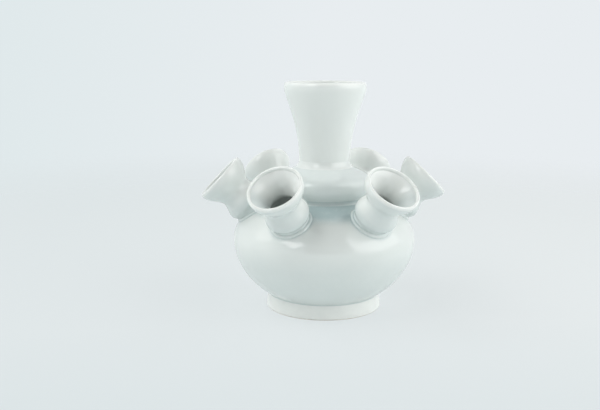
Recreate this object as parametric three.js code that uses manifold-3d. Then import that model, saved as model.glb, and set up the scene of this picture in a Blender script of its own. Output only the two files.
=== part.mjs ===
// A white glazed tulip vase: a round body on a foot ring, a squat knop, a trumpet neck and six short spouts
// that lean out of the shoulder. It is built as a potter builds it, from pieces thrown one by one and luted
// together, each with its own wall, and with a thin coil of slip pressed round each joint that shows one.
// Millimetres, +Z up. The origin is the centre of the foot's underside. -Y is the front.

import * as THREE from 'three';
import { mergeVertices } from 'three/addons/utils/BufferGeometryUtils.js';
import Module from 'manifold-3d';

const wasm = await Module();
wasm.setup();

// Foot ring
const FOOT_H = 8.2;
const FOOT_LAP = 0.4;
const FOOT_DRAFT = 1.2;
const FOOT_WALL = 5;
const FOOT_EDGE = 0.8;

// Body
const BODY_H = 67.8;
const BODY_BASE_R = 35.4;
const BELLY_R = 63;
const BELLY_AT = 40.3;
const BODY_WALL = 4;
const FLOOR_T = 4.5;
const RIM_R = 30;
const RIM_T = 3;
const THROAT_R = 24;

// Knop, the squat bulb between the body and the neck
const KNOP_H = 22.5;
const KNOP_R = 33.7;
const KNOP_WIDEST_AT = 9;
const KNOP_TOP_R = 18;
const KNOP_TOP_T = 3;
const KNOP_WALL = 4;

// Neck
const NECK_H = 56.5;
const NECK_BASE_R = 17.3;
const NECK_LIP_R = 28.1;
const NECK_STRAIGHT = 30;
const NECK_LIP_BAND = 9.5;
const NECK_WALL = 3.4;

// Spouts
const SPOUT_COUNT = 6;
const SPOUT_ROOM = 0.3;
const SPOUT_LEAN = THREE.MathUtils.degToRad(45.5);
const SPOUT_L = 33;
const SPOUT_BASE_R = 13;
const SPOUT_BASE_H = 1.5;
const BULB_R = 14.3;
const BULB_AT = 8.2;
const WAIST_R = 11.8;
const WAIST_AT = 18;
const SPOUT_LIP_R = 18.6;
const SPOUT_STRAIGHT = 3.5;
const SPOUT_LIP_BAND = 7.5;
const SPOUT_WALL = 3;

// Coils of slip round the joints
const COIL_W = 2.4;
const COIL_RISE = 1.6;
const COIL_GAP = 0.3;
const COVE_W = 3;
const COVE_H = 3.2;
const COVE_THROAT = 1;

// Faces round each turned piece. Those of the body are a multiple of the number of spouts, so that the
// shoulder is the same under each of them.
const BODY_FACES_PER_SPOUT = 8;
const BODY_FACES = BODY_FACES_PER_SPOUT * SPOUT_COUNT;
const FOOT_FACES = 42;
const NECK_FACES = 36;
const SPOUT_FACES = 20;

// How far a curved outline turns from one corner to the next, on faces that show and on those that don't,
// and how many stretches the other curves are drawn in
const OUTER_STEP = THREE.MathUtils.degToRad(9);
const INNER_STEP = THREE.MathUtils.degToRad(14);
const NECK_STEPS = 7;
const MOUTH_STEPS = 5;
const BULB_STEPS = 3;
const LIP_STEPS = 4;
const BEAD_STEPS = 3;
const COVE_STEPS = 4;

// Corners closer than this are one corner
const SAME_CORNER = 1e-4;

// How often the stretch that holds a height is halved to find it
const HALVINGS = 30;

// Heights and radii at which the pieces stand on each other. The foot's wall laps a little way under the
// body's flat base. A spout stands as near the knop as the two slip rings let it, with its room between
// them, measured level.
const BODY_Z = FOOT_H;
const BELLY_Z = BODY_Z + BELLY_AT;
const KNOP_Z = BODY_Z + BODY_H;
const KNOP_WIDEST_Z = KNOP_Z + KNOP_WIDEST_AT;
const NECK_Z = KNOP_Z + KNOP_H;
const FOOT_R = BODY_BASE_R - FOOT_LAP + FOOT_WALL;
const NECK_BORE_R = NECK_BASE_R - NECK_WALL;
const SPOUT_BORE_R = SPOUT_BASE_R - SPOUT_WALL;
const SPOUT_SEAT_R = RIM_R + COVE_W + SPOUT_ROOM + COIL_W + SPOUT_BASE_R;

const glaze = () => new THREE.MeshStandardMaterial({ color: 0xeef1ee, roughness: 0.12, metalness: 0 });
const pooledGlaze = () => new THREE.MeshStandardMaterial({ color: 0xdce8e8, roughness: 0.1, metalness: 0 });

const QUARTER_TURN = Math.PI / 2;
const at = (r, z) => new THREE.Vector2(r, z);

// The values that cut a whole into equal parts, without its ends.
function cutsOf(whole, parts) {
  return Array.from({ length: parts - 1 }, (_, i) => (whole * (i + 1)) / parts);
}

// The upright half-axis of an ellipse whose level one is rWide, and which passes through (rEnd, dz).
function ellipseRise(rWide, rEnd, dz) {
  return dz / Math.sqrt(1 - (rEnd / rWide) ** 2);
}

// An arc of that ellipse, from its widest point at (rWide, zWide) to (rEnd, zEnd), with a corner at least
// every step of its turn.
function ellipseArc(rWide, zWide, rEnd, zEnd, step) {
  const rise = ellipseRise(rWide, rEnd, zEnd - zWide);
  const last = Math.acos(rEnd / rWide);
  const steps = Math.ceil(last / step);
  const points = [];
  for (let i = 0; i <= steps; i += 1) {
    const angle = (last * i) / steps;
    points.push(at(rWide * Math.cos(angle), zWide + rise * Math.sin(angle)));
  }
  return points;
}

// A soft wave from one radius to another, level at both ends.
function swell(r0, z0, r1, z1, steps) {
  const points = [];
  for (let i = 0; i <= steps; i += 1) {
    const t = i / steps;
    points.push(at(r0 + ((r1 - r0) * (1 - Math.cos(Math.PI * t))) / 2, z0 + (z1 - z0) * t));
  }
  return points;
}

// The outside of a flaring wall: it runs up its axis for a while, opens, and comes back to the axis'
// direction at the lip.
function flareCurve({ lowR, lowZ, lipR, topZ, straight, band, wall }) {
  const lipZ = topZ - wall / 2;
  return new THREE.CubicBezierCurve(
    at(lowR, lowZ), at(lowR, lowZ + straight), at(lipR, lipZ - band), at(lipR, lipZ));
}

// The flaring wall at an even thickness with a half-round lip, drawn up its outside, over the lip and down
// its inside.
function trumpet(sizes, steps) {
  const { lipR, topZ, wall } = sizes;
  const curve = flareCurve(sizes);
  const outside = [];
  const inside = [];
  for (let i = 0; i <= steps; i += 1) {
    const point = curve.getPoint(i / steps);
    const along = curve.getTangent(i / steps);
    outside.push(point);
    inside.unshift(at(point.x - wall * along.y, point.y + wall * along.x));
  }
  const lip = cutsOf(2 * QUARTER_TURN, LIP_STEPS).map((turn) => at(
    lipR - (wall / 2) * (1 - Math.cos(turn)), topZ - (wall / 2) * (1 - Math.sin(turn))));
  return [...outside, ...lip, ...inside];
}

// The value, between low and high, up to which a test holds, found by halving the stretch that holds it.
function upTo(low, high, holds) {
  let [from, to] = [low, high];
  for (let i = 0; i < HALVINGS; i += 1) {
    const middle = (from + to) / 2;
    if (holds(middle)) from = middle;
    else to = middle;
  }
  return from;
}

// The radius of a flaring wall's outside at height z.
function radiusAt(curve, z) {
  return curve.getPoint(upTo(0, 1, (t) => curve.getPoint(t).y < z)).x;
}

// A piece turned about +Z from an outline that runs up its outside and down its inside.
function turned(outline, faces) {
  return new THREE.LatheGeometry(outline, faces).rotateX(QUARTER_TURN);
}

// A ring turned from an outline that closes on itself.
function turnedRing(outline, faces) {
  return turned([...outline, outline[0].clone()], faces);
}

// A ring drawn through sections that differ on the way round, each with as many corners and closed on itself.
function ringThrough(sections) {
  const across = sections[0].length;
  const corners = sections.flat();
  const index = [];
  corners.forEach((_, a) => {
    const b = a - (a % across) + ((a + 1) % across);
    const [c, d] = [a, b].map((corner) => (corner + across) % corners.length);
    index.push(a, c, b, b, c, d);
  });
  const geometry = new THREE.BufferGeometry().setFromPoints(corners).setIndex(index);
  geometry.computeVertexNormals();
  return geometry;
}

// The solid that a closed geometry bounds, with shared corners merged and slivers at the poles left out.
function solidOf(geometry) {
  const bare = geometry.clone();
  bare.deleteAttribute('normal');
  bare.deleteAttribute('uv');
  const merged = mergeVertices(bare, SAME_CORNER);
  const index = merged.index.array;
  const triangles = [];
  for (let i = 0; i < index.length; i += 3) {
    const [a, b, c] = [index[i], index[i + 1], index[i + 2]];
    if (a !== b && b !== c && c !== a) triangles.push(a, b, c);
  }
  return new wasm.Manifold(new wasm.Mesh({
    numProp: 3,
    vertProperties: new Float32Array(merged.attributes.position.array),
    triVerts: new Uint32Array(triangles),
  }));
}

function geometryOf(solid) {
  const mesh = solid.getMesh();
  const geometry = new THREE.BufferGeometry();
  geometry.setAttribute('position', new THREE.BufferAttribute(new Float32Array(mesh.vertProperties), 3));
  geometry.setIndex(new THREE.BufferAttribute(new Uint32Array(mesh.triVerts), 1));
  geometry.computeVertexNormals();
  return geometry;
}

// Foot ring: nearly upright outside, rounded where it meets the body, with a narrow flat edge to stand on.
function footRing() {
  const innerR = FOOT_R - FOOT_WALL;
  const topR = FOOT_R - FOOT_DRAFT;
  return turnedRing([
    at(innerR + FOOT_EDGE, 0), at(FOOT_R - FOOT_EDGE, 0), at(FOOT_R, FOOT_EDGE),
    at(topR, FOOT_H - FOOT_EDGE), at(topR - FOOT_EDGE, FOOT_H),
    at(innerR, FOOT_H), at(innerR, FOOT_EDGE),
  ], FOOT_FACES);
}

// The body's outside, from its flat base up to the rim under the knop, or a skin that lies off it by grow.
function bodyOutside(grow = 0) {
  const wide = BELLY_R + grow;
  const lower = ellipseArc(wide, BELLY_Z, BODY_BASE_R + grow, BODY_Z - grow, OUTER_STEP).reverse();
  const upper = ellipseArc(wide, BELLY_Z, RIM_R + grow, KNOP_Z + grow, OUTER_STEP);
  return [...lower, ...upper.slice(1)];
}

function bodyInside() {
  const insideR = BELLY_R - BODY_WALL;
  const upper = ellipseArc(insideR, BELLY_Z, THROAT_R, KNOP_Z - RIM_T, INNER_STEP).reverse();
  const lower = ellipseArc(insideR, BELLY_Z, BODY_BASE_R - BODY_WALL, BODY_Z + FLOOR_T, INNER_STEP);
  return [...upper, ...lower.slice(1)];
}

// The height, at radius r, of an upper face that ellipseArc draws.
function archZ(rWide, zWide, rEnd, zEnd, r) {
  return zWide + ellipseRise(rWide, rEnd, zEnd - zWide) * Math.sqrt(1 - (r / rWide) ** 2);
}

// The height of the shoulder at radius r.
function shoulderZ(r) {
  return archZ(BELLY_R, BELLY_Z, RIM_R, KNOP_Z, r);
}

// Whether a point lies inside a skin that lies off the body's outside by grow.
function insideBody({ x, y, z }, grow) {
  const wide = BELLY_R + grow;
  const rise = z > BELLY_Z
    ? ellipseRise(wide, RIM_R + grow, KNOP_Z + grow - BELLY_Z)
    : ellipseRise(wide, BODY_BASE_R + grow, BELLY_Z - BODY_Z + grow);
  return Math.hypot(x / wide, y / wide, (z - BELLY_Z) / rise) < 1;
}

const SEAT_Z = shoulderZ(SPOUT_SEAT_R);
const SPOUT_TURN = (2 * Math.PI) / SPOUT_COUNT;

// From a spout's own frame, on the front side, to the vase's.
const SPOUT_FRAME = new THREE.Matrix4().makeTranslation(0, -SPOUT_SEAT_R, SEAT_Z)
  .multiply(new THREE.Matrix4().makeRotationX(SPOUT_LEAN));

// A round bar along a spout's axis, long enough to pass through the shoulder's wall.
function spoutBar(radius) {
  const reach = 2 * SPOUT_BASE_R;
  return new THREE.CylinderGeometry(radius, radius, reach, SPOUT_FACES).rotateX(QUARTER_TURN);
}

// Body: one thrown shell, open at the top and pierced under each spout.
function body() {
  let shell = solidOf(turned(
    [at(0, BODY_Z), ...bodyOutside(), at(THROAT_R, KNOP_Z), ...bodyInside(), at(0, BODY_Z + FLOOR_T)],
    BODY_FACES));
  for (let i = 0; i < SPOUT_COUNT; i += 1) {
    const bar = spoutBar(SPOUT_BORE_R).applyMatrix4(SPOUT_FRAME);
    shell = shell.subtract(solidOf(bar.rotateZ((i + 0.5) * SPOUT_TURN)));
  }
  return geometryOf(shell);
}

// The whole body without its hollow, a gap larger all over, in a spout's frame.
function shoulderCutter() {
  const outline = [at(0, BODY_Z - COIL_GAP), ...bodyOutside(COIL_GAP), at(0, KNOP_Z + COIL_GAP)];
  const faces = turned(outline, BODY_FACES).rotateZ(SPOUT_TURN / 2);
  return solidOf(faces.applyMatrix4(SPOUT_FRAME.clone().invert()));
}

// Knop: a squat bulb, open below over the body's throat and above under the neck's bore.
function knop() {
  const insideR = KNOP_R - KNOP_WALL;
  const outside = [
    ...ellipseArc(KNOP_R, KNOP_WIDEST_Z, RIM_R, KNOP_Z, OUTER_STEP).reverse(),
    ...ellipseArc(KNOP_R, KNOP_WIDEST_Z, KNOP_TOP_R, NECK_Z, OUTER_STEP).slice(1),
  ];
  const inside = [
    ...ellipseArc(insideR, KNOP_WIDEST_Z, NECK_BORE_R, NECK_Z - KNOP_TOP_T, INNER_STEP).reverse(),
    ...ellipseArc(insideR, KNOP_WIDEST_Z, THROAT_R, KNOP_Z, INNER_STEP).slice(1),
  ];
  return turnedRing([...outside, at(NECK_BORE_R, NECK_Z), ...inside], NECK_FACES);
}

// Neck: a trumpet that stands on the knop.
const NECK = {
  lowR: NECK_BASE_R, lowZ: NECK_Z, lipR: NECK_LIP_R, topZ: NECK_Z + NECK_H,
  straight: NECK_STRAIGHT, band: NECK_LIP_BAND, wall: NECK_WALL,
};

function neck() {
  return turnedRing(trumpet(NECK, NECK_STEPS), NECK_FACES);
}

// A spout's outside from its root, below its seat, up to its waist.
function spoutOutside() {
  return [
    at(SPOUT_BASE_R, -SPOUT_BASE_R),
    ...swell(SPOUT_BASE_R, SPOUT_BASE_H, BULB_R, BULB_AT, BULB_STEPS),
    ...swell(BULB_R, BULB_AT, WAIST_R, WAIST_AT, BULB_STEPS).slice(1),
  ];
}

// The radius of a spout's outside at height z, from its root up to the bulb.
function spoutRadius(z) {
  const t = THREE.MathUtils.clamp((z - SPOUT_BASE_H) / (BULB_AT - SPOUT_BASE_H), 0, 1);
  return SPOUT_BASE_R + ((BULB_R - SPOUT_BASE_R) * (1 - Math.cos(Math.PI * t))) / 2;
}

// Spout, along its own +Z from its seat: a plain base, a bulb, a waist and a flared mouth. Its base is cut
// to the shoulder that it sits on.
function spout() {
  const mouth = trumpet({
    lowR: WAIST_R, lowZ: WAIST_AT, lipR: SPOUT_LIP_R, topZ: SPOUT_L,
    straight: SPOUT_STRAIGHT, band: SPOUT_LIP_BAND, wall: SPOUT_WALL,
  }, MOUTH_STEPS);
  const inside = [
    ...swell(WAIST_R - SPOUT_WALL, WAIST_AT, BULB_R - SPOUT_WALL, BULB_AT, BULB_STEPS).slice(1),
    at(SPOUT_BORE_R, SPOUT_BASE_H), at(SPOUT_BORE_R, -SPOUT_BASE_R),
  ];
  const blank = turnedRing([...spoutOutside(), ...mouth.slice(1), ...inside], SPOUT_FACES);
  return geometryOf(solidOf(blank).subtract(shoulderCutter()));
}

// The height, along a spout's own +Z, at which a line at radius r and turned by turn leaves the shoulder and
// the gap that lies on it.
function footOf(r, turn) {
  const reach = SPOUT_BASE_R + COIL_W;
  const point = new THREE.Vector3();
  return upTo(-reach, reach, (z) => {
    point.set(r * Math.cos(turn), r * Math.sin(turn), z).applyMatrix4(SPOUT_FRAME);
    return insideBody(point, COIL_GAP);
  });
}

// Coil of slip round a spout's base, in the spout's frame: a quarter-round bead that follows the shoulder
// and lies against the spout.
function spoutCoil() {
  const bead = [0, ...cutsOf(QUARTER_TURN, BEAD_STEPS)].map((turn) => at(
    SPOUT_BASE_R + COIL_W * Math.cos(turn), COIL_RISE * Math.sin(turn)));
  const sections = [0, ...cutsOf(2 * Math.PI, SPOUT_FACES)].map((turn) => {
    const corner = (r, z) => new THREE.Vector3(r * Math.cos(turn), r * Math.sin(turn), z);
    const innerR = SPOUT_BASE_R + COIL_GAP;
    const topZ = footOf(innerR, turn) + COIL_RISE;
    return [
      corner(innerR, footOf(innerR, turn)),
      ...bead.map(({ x, y }) => corner(x, footOf(x, turn) + y)),
      corner(spoutRadius(topZ) + COIL_GAP, topZ),
    ];
  });
  return ringThrough(sections);
}

// A hollow-faced ring of slip in the corner at cornerR, between a wall of radius wallR(z) and a floor of
// height floorZ(r). It keeps the gap off both, and its face is drawn in towards the corner, to a curve's
// handle that keeps its throat off it both ways.
function coveRing(cornerR, wallR, floorZ) {
  const innerR = cornerR + 2 * COIL_GAP;
  const outerR = cornerR + COVE_W;
  const lowZ = floorZ(outerR) + COIL_GAP;
  const topZ = floorZ(cornerR) + COVE_H;
  const topR = wallR(topZ) + COIL_GAP;
  const handle = at(topR + COVE_THROAT, lowZ + COVE_THROAT);
  const face = new THREE.QuadraticBezierCurve(at(outerR, lowZ), handle, at(topR, topZ));
  return turnedRing([at(innerR, floorZ(innerR) + COIL_GAP), ...face.getPoints(COVE_STEPS)], NECK_FACES);
}

function neckCove() {
  const curve = flareCurve(NECK);
  const floor = (r) => archZ(KNOP_R, KNOP_WIDEST_Z, KNOP_TOP_R, NECK_Z, Math.max(r, KNOP_TOP_R));
  return coveRing(NECK_BASE_R, (z) => radiusAt(curve, z), floor);
}

function knopCove() {
  const rise = ellipseRise(KNOP_R, RIM_R, KNOP_WIDEST_AT);
  const wall = (z) => KNOP_R * Math.sqrt(1 - ((KNOP_WIDEST_Z - z) / rise) ** 2);
  return coveRing(RIM_R, wall, shoulderZ);
}

const vase = new THREE.Group();

function add(name, geometry, material, parent = vase) {
  const mesh = new THREE.Mesh(geometry, material);
  mesh.name = name;
  parent.add(mesh);
  return mesh;
}

add('foot_ring', footRing(), glaze());
add('body', body(), glaze());
add('knop', knop(), glaze());
add('knop_slip_ring', knopCove(), pooledGlaze());
add('neck', neck(), glaze());
add('neck_slip_ring', neckCove(), pooledGlaze());

// The spouts stand at even turns round the body, the first half a turn's share to the right of the front.
const spoutShape = spout();
const coilShape = spoutCoil();
const PLACES = ['front_right', 'right', 'back_right', 'back_left', 'left', 'front_left'];
PLACES.forEach((place, i) => {
  const station = new THREE.Group();
  station.rotation.z = (i + 0.5) * SPOUT_TURN;
  vase.add(station);
  const seat = new THREE.Group();
  seat.applyMatrix4(SPOUT_FRAME);
  station.add(seat);
  add(`spout_${place}`, spoutShape, glaze(), seat);
  add(`slip_ring_${place}`, coilShape, pooledGlaze(), seat);
});

export default vase;
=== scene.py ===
"""A white glazed tulip vase on a pale sweep: foot ring, body, knop, neck and six spouts, each thrown by
itself and luted to the next with slip, under one glossy tin-white glaze. Metres, +Z up, the foot's underside
at Z = 0, -Y the front. Surfaces are turned profiles, or sections carried round a joint, made in numpy."""

import math

import bpy
import numpy as np
from bpy.props import FloatProperty, IntProperty, PointerProperty, StringProperty
from mathutils import Matrix, Vector


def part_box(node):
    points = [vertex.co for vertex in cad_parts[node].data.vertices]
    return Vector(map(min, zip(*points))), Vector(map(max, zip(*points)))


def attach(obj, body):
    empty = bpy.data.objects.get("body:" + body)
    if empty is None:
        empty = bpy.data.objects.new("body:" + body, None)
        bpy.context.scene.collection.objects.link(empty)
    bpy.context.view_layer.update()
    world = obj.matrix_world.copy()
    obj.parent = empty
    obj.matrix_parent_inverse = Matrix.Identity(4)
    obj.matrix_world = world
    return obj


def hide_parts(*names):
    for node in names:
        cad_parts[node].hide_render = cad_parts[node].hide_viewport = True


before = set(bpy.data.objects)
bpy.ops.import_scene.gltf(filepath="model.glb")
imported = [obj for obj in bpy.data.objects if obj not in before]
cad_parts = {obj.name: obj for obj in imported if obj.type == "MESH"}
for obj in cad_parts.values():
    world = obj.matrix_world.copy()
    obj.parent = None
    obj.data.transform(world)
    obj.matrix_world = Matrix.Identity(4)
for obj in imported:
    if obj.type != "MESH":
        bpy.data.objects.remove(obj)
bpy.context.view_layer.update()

bl_info = {
    "name": "Glazed Tulip Vase",
    "version": (1, 0, 0),
    "blender": (4, 5, 0),
    "location": "3D View > Sidebar > Vase",
    "description": "Builds a thrown and glazed tulip vase with six spouts, and a pale studio for it",
    "category": "Add Mesh",
}

MM = 0.001

# The spouts, anticlockwise as seen from above, and how each was luted on by hand: turned round the vase and
# leaned out, in degrees, then set further out and pressed further down, in millimetres
SPOUTS = {
    "front_right": (2.4, -6.0, 1.2, 0.5),
    "right": (0.9, -1.1, 0.0, 0.1),
    "back_right": (-3.2, 0.0, -0.4, -0.8),
    "back_left": (1.6, 4.3, -0.4, -0.8),
    "left": (-1.7, 1.0, 0.0, 0.0),
    "front_left": (-1.5, -4.6, 0.5, 0.0),
}

# Heights and radii that the frame's solids give
FOOT_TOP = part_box("body")[0].z
RIM_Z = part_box("knop")[0].z
NECK_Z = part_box("neck")[0].z
TOP_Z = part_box("neck")[1].z
FOOT_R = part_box("foot_ring")[1].y
BELLY_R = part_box("body")[1].x
KNOP_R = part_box("knop")[1].x
LIP_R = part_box("neck")[1].x

# Uneven throwing: its share of the radius, and its waves as count, size, drift with the height, and start
UNEVEN = 0.0012
WAVES = ((2, 1.0, 31, 0.0), (3, 0.7, -47, 1.1), (5, 0.4, 90, 2.3))

# Shape of a lip's edge: 1 is a half round, and less is squarer
LIP_FULLNESS = 0.95

# How deep the glaze lies, from -1 where it ran thin to 1 where it pooled; the same scale also paints light
# and shade
# Painted light on the foot, and a line of pooled glaze in its cove
FOOT_PAINTED_LIGHT, FOOT_COVE_DEPTH = -0.75, 0.45
# Painted shade on the low belly
LOW_BELLY_SHADE = 0.16
# Painted shade over the knop, least at its foot
KNOP_FOOT_SHADE, KNOP_SHADE = 0.05, 0.25
# Glaze pooled in the knop's cove, painted deeper with the valley's shade; none in the neck's cove
NECK_COVE_DEPTH, KNOP_COVE_POOL_AND_SHADE = 0.0, 0.5
# The lips ran thin; painted light on the spouts' upper sides and painted shade on their bulbs
LIP_DEPTH, UPPER_SIDE_PAINTED_LIGHT, BULB_SHADE = -0.4, -0.35, 0.3
# Painted shade on the spouts' undersides
UNDERSIDE_SHADES = (0.35, 0.2)  # inside and outside a spout
FOOT_POOL_DEPTHS = (0.3, 0.7)  # downhill and uphill, at a spout's foot
JOINT_DEPTHS = (0.45, 1.0)  # downhill and uphill, on the shoulder and on the coil
COIL_BACK = 0.4  # the coil's back, as a share of its edges

# From the downhill to the uphill side of a spout: as a sine of the turn, and up the shoulder from the seat
UPHILL, UP_SHOULDER = (-0.9, 0.4), (-12 * MM, 6 * MM)

# On the body: radii of painted shade in the valley round the knop, distances of pooled glaze from a spout,
# and heights of painted shade low on the belly
VALLEY_SHADE = (53 * MM, 43.5 * MM)
ROUND_SPOUT = (3.6 * MM, 1.2 * MM)
SHADED_BELLY_HEIGHTS = (52 * MM, 36 * MM)

# The glaze: its patterns as repeats to the metre, the roughness of glaze and clay, the refraction, the height
# of the skin's relief, and how far its line wavers and fades
CLOUD_SCALE, PATCH_SCALE, GRIT_SCALE, DIMPLE_SCALE, WAVE_SCALE = 40.0, 260.0, 1800.0, 330.0, 32.0
GLAZE_ROUGHNESS, CLAY_ROUGHNESS, GLAZE_IOR = (0.02, 0.06), 0.85, 1.62
RELIEF = 0.012 * MM
LINE_WAVER, LINE_FADE = 0.6 * MM, 0.15 * MM

# The floor: half its width, where it fades, and where it lightens to the back and right, with tones there
FLOOR_HALF = 4
FLOOR_FADE = (0.35, 0.95)
FLOOR_BACK = (-0.18, -0.05, -0.1, 0.45)
FLOOR_RIGHT = (-0.25, 0.25, 0.0, 0.6)

# The surround: strength of its light, where the backdrop lightens, and the dark ceiling. That is a strip so
# far up and so far ahead, with soft edges to the side in metres, in front as a sine, and at the back as depth
# over height.
WHITE = (1, 1, 1, 1)
SKY = 0.945
BACKDROP_RIGHT = (-0.29, 0.1)
CEILING_UP, CEILING_AHEAD = 1.7, 1.4
CEILING_SIDE, CEILING_FRONT, CEILING_BACK = (0.82, 0.74), (0.05, 0.11), (0.7, 0.6)

# Softboxes: place, width and height, side and tilt in degrees, radiance
LAMPS = (
    ("softbox_left", (-0.78, -0.22, 1.22), (1.5, 0.95), -90, 43, 2.55),
    ("softbox_right", (0.80, -0.55, 0.89), (1.6, 1.73), 90, 0, 1.2),
)

# Windows: distance to the side, corners and core as distances back and up, strength there and away from it
WINDOWS = (
    ("window_left_back", -0.8, ((0.12, 0.28), (0.42, 0.68), (0.6, 0.9), (0.3, 1.05), (-0.17, 0.53)),
     (-0.05, 0.5), 1.7, 1.1),
    ("window_left_front", -0.8, ((-0.38, 0.66), (-0.42, 1.0), (-0.6, 1.8), (-1.2, 1.1), (-0.86, 0.42)),
     (-0.6, 0.9), 3.6, 3.0),
    ("window_right", 0.8, ((0.09, 0.18), (-0.39, 0.03), (-0.76, 0.01), (-1.25, 0.08), (-1.35, 1.0),
                           (-1.0, 2.2), (-0.4, 1.5), (0.17, 0.6), (0.16, 0.31)), (-0.6, 0.5), 2.7, 1.9),
)
WINDOW_FADE = (0.1, 0.65)


def length(name, millimetres, text):
    """A length of the vase, given in millimetres and kept in metres."""
    return FloatProperty(
        name=name, description=text, default=millimetres * MM, precision=5, unit="LENGTH", subtype="DISTANCE")


def angle(name, degrees, text):
    """An angle, given in degrees and kept in radians."""
    return FloatProperty(
        name=name, description=text, default=math.radians(degrees), precision=4, unit="ROTATION",
        subtype="ANGLE")


def colour(name, code, text):
    """A colour, given as a hex sRGB code."""
    return StringProperty(name=name, description=text, default=code, maxlen=7)


class FootSizes(bpy.types.PropertyGroup):
    """Foot ring under the body"""

    wall: length("Wall", 5, "Width of the ring that the vase stands on")
    edge: length("Worn edge", 0.9, "How far the standing edge is rounded off")
    side: length("Side", 7.8, "Height where the side ends and the cove to the body begins")
    top_radius: length("Top radius", 39.2, "Outside radius where the side ends")
    cove_radius: length("Cove radius", 39.75, "Radius where the cove runs out on the body")
    proud: length("Proud", 0.15, "How far the cove's end stands over the body")
    clay: length("Bare clay", 0.4, "Height of the band that was wiped clean of glaze")


class BodySizes(bpy.types.PropertyGroup):
    """Round body, thrown in one"""

    base_radius: length("Base radius", 35.4, "Radius where the body sits on the foot ring")
    belly_height: length("Belly height", 48.5, "Height of the widest point")
    wall: length("Wall", 4, "Thickness of the wall at the belly")
    floor: length("Floor", 4.5, "Thickness of the floor")
    rim_radius: length("Rim radius", 30, "Outside radius at the top, under the knop")
    rim: length("Rim", 3, "Thickness of the rim")
    throat: length("Throat", 24, "Inside radius at the top")


class KnopSizes(bpy.types.PropertyGroup):
    """Squat bulb between the body and the neck"""

    widest: length("Widest at", 8.2, "Height of the widest point over the body's rim")
    side: length("Side", 4.3, "How far the wall stands upright over the widest point")
    turn: length("Turn", 7.8, "Height of the dome's second arm over the widest point")
    spread: length("Spread", 8, "How far outside the top radius the dome's last arm lies")
    drop: length("Drop", 4, "How far under the neck the dome's last arm lies")
    top_radius: length("Top radius", 18, "Outside radius under the neck")
    top: length("Top", 3, "Thickness of the wall at the top")
    wall: length("Wall", 4, "Thickness of the wall at the widest point")


class NeckSizes(bpy.types.PropertyGroup):
    """Trumpet neck"""

    base_radius: length("Base radius", 17.3, "Outside radius where the neck stands on the knop")
    straight: length("Straight", 30, "How far the wall holds its direction before it flares")
    band: length("Lip band", 7.5, "How far the wall runs upright under the lip")
    wall: length("Wall", 3.4, "Thickness of the wall")
    lip: length("Lip", 3.4, "Height of the rounded edge")


class SpoutSizes(bpy.types.PropertyGroup):
    """Short spouts that lean out of the shoulder"""

    seat_radius: length("Seat radius", 48.7, "Distance of the seats from the vase's axis")
    lean: angle("Lean", 45.5, "Lean of a spout from upright")
    height: length("Length", 33, "Length from the seat to the lip")
    base_radius: length("Base radius", 12.6, "Outside radius at the shoulder")
    base_height: length("Base height", 1.5, "Where the plain base ends and the bulb begins")
    bulb_radius: length("Bulb radius", 14.6, "Outside radius of the bulb")
    bulb_height: length("Bulb height", 7.0, "Height of the bulb's widest point")
    waist_radius: length("Waist radius", 11.8, "Outside radius of the waist")
    waist_height: length("Waist height", 17, "Height of the waist")
    lip_radius: length("Lip radius", 18.3, "Outside radius of the mouth")
    straight: length("Straight", 3.5, "How far the wall holds its direction over the waist")
    band: length("Lip band", 6.2, "How far the wall runs along the axis under the lip")
    throat: length("Throat", 7.9, "Inside radius at the waist")
    wall: length("Wall", 3, "Thickness of the wall")
    lip: length("Lip", 2.0, "Height of the rounded edge")
    lip_wall: length("Lip wall", 2.4, "Thickness of the wall under the rounded edge")


class SlipSizes(bpy.types.PropertyGroup):
    """Slip pressed and wiped round the joints"""

    coil_width: length("Coil width", 1.6, "Width on the shoulder of the coil round a spout")
    coil_rise: length("Coil rise", 1.3, "Height on the spout of the coil round it")
    neck_width: length("Neck cove width", 3.4, "Width on the knop of the cove round the neck")
    neck_rise: length("Neck cove rise", 3.9, "Height on the neck of the cove round it")
    knop_width: length("Knop cove width", 2.3, "Width on the shoulder of the cove round the knop")
    knop_rise: length("Knop cove rise", 2.6, "Height on the knop of the cove round it")
    sink: length("Sink", 0.05, "How far a piece is bedded into the one that carries it")


class GlazeColours(bpy.types.PropertyGroup):
    """Colours of the glaze and the clay; the thin and pooled glaze colours also paint light and shade"""

    white: colour("Glaze", "#DDE2DF", "The glaze where it lies at its usual thickness")
    cloud: colour("Cloud", "#D9DFDC", "The glaze in the faint clouds that it fired to")
    # The thin glaze's colour also paints light on the foot and on the spouts' upper sides
    thin_and_lit: colour("Thin glaze", "#F0F2EE", "The glaze where it ran thin over a lip")
    # The pooled glaze's colour also paints shade on the knop, the valley round it, the low belly, and the
    # spouts' bulbs and undersides
    pooled: colour("Pooled glaze", "#A6B8B9", "The glaze where it gathered in a groove")
    clay: colour("Clay", "#C4B5A2", "The bare clay of the standing edge")
    grit: colour("Grit", "#D4BC9E", "The lighter grains in the clay")


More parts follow.
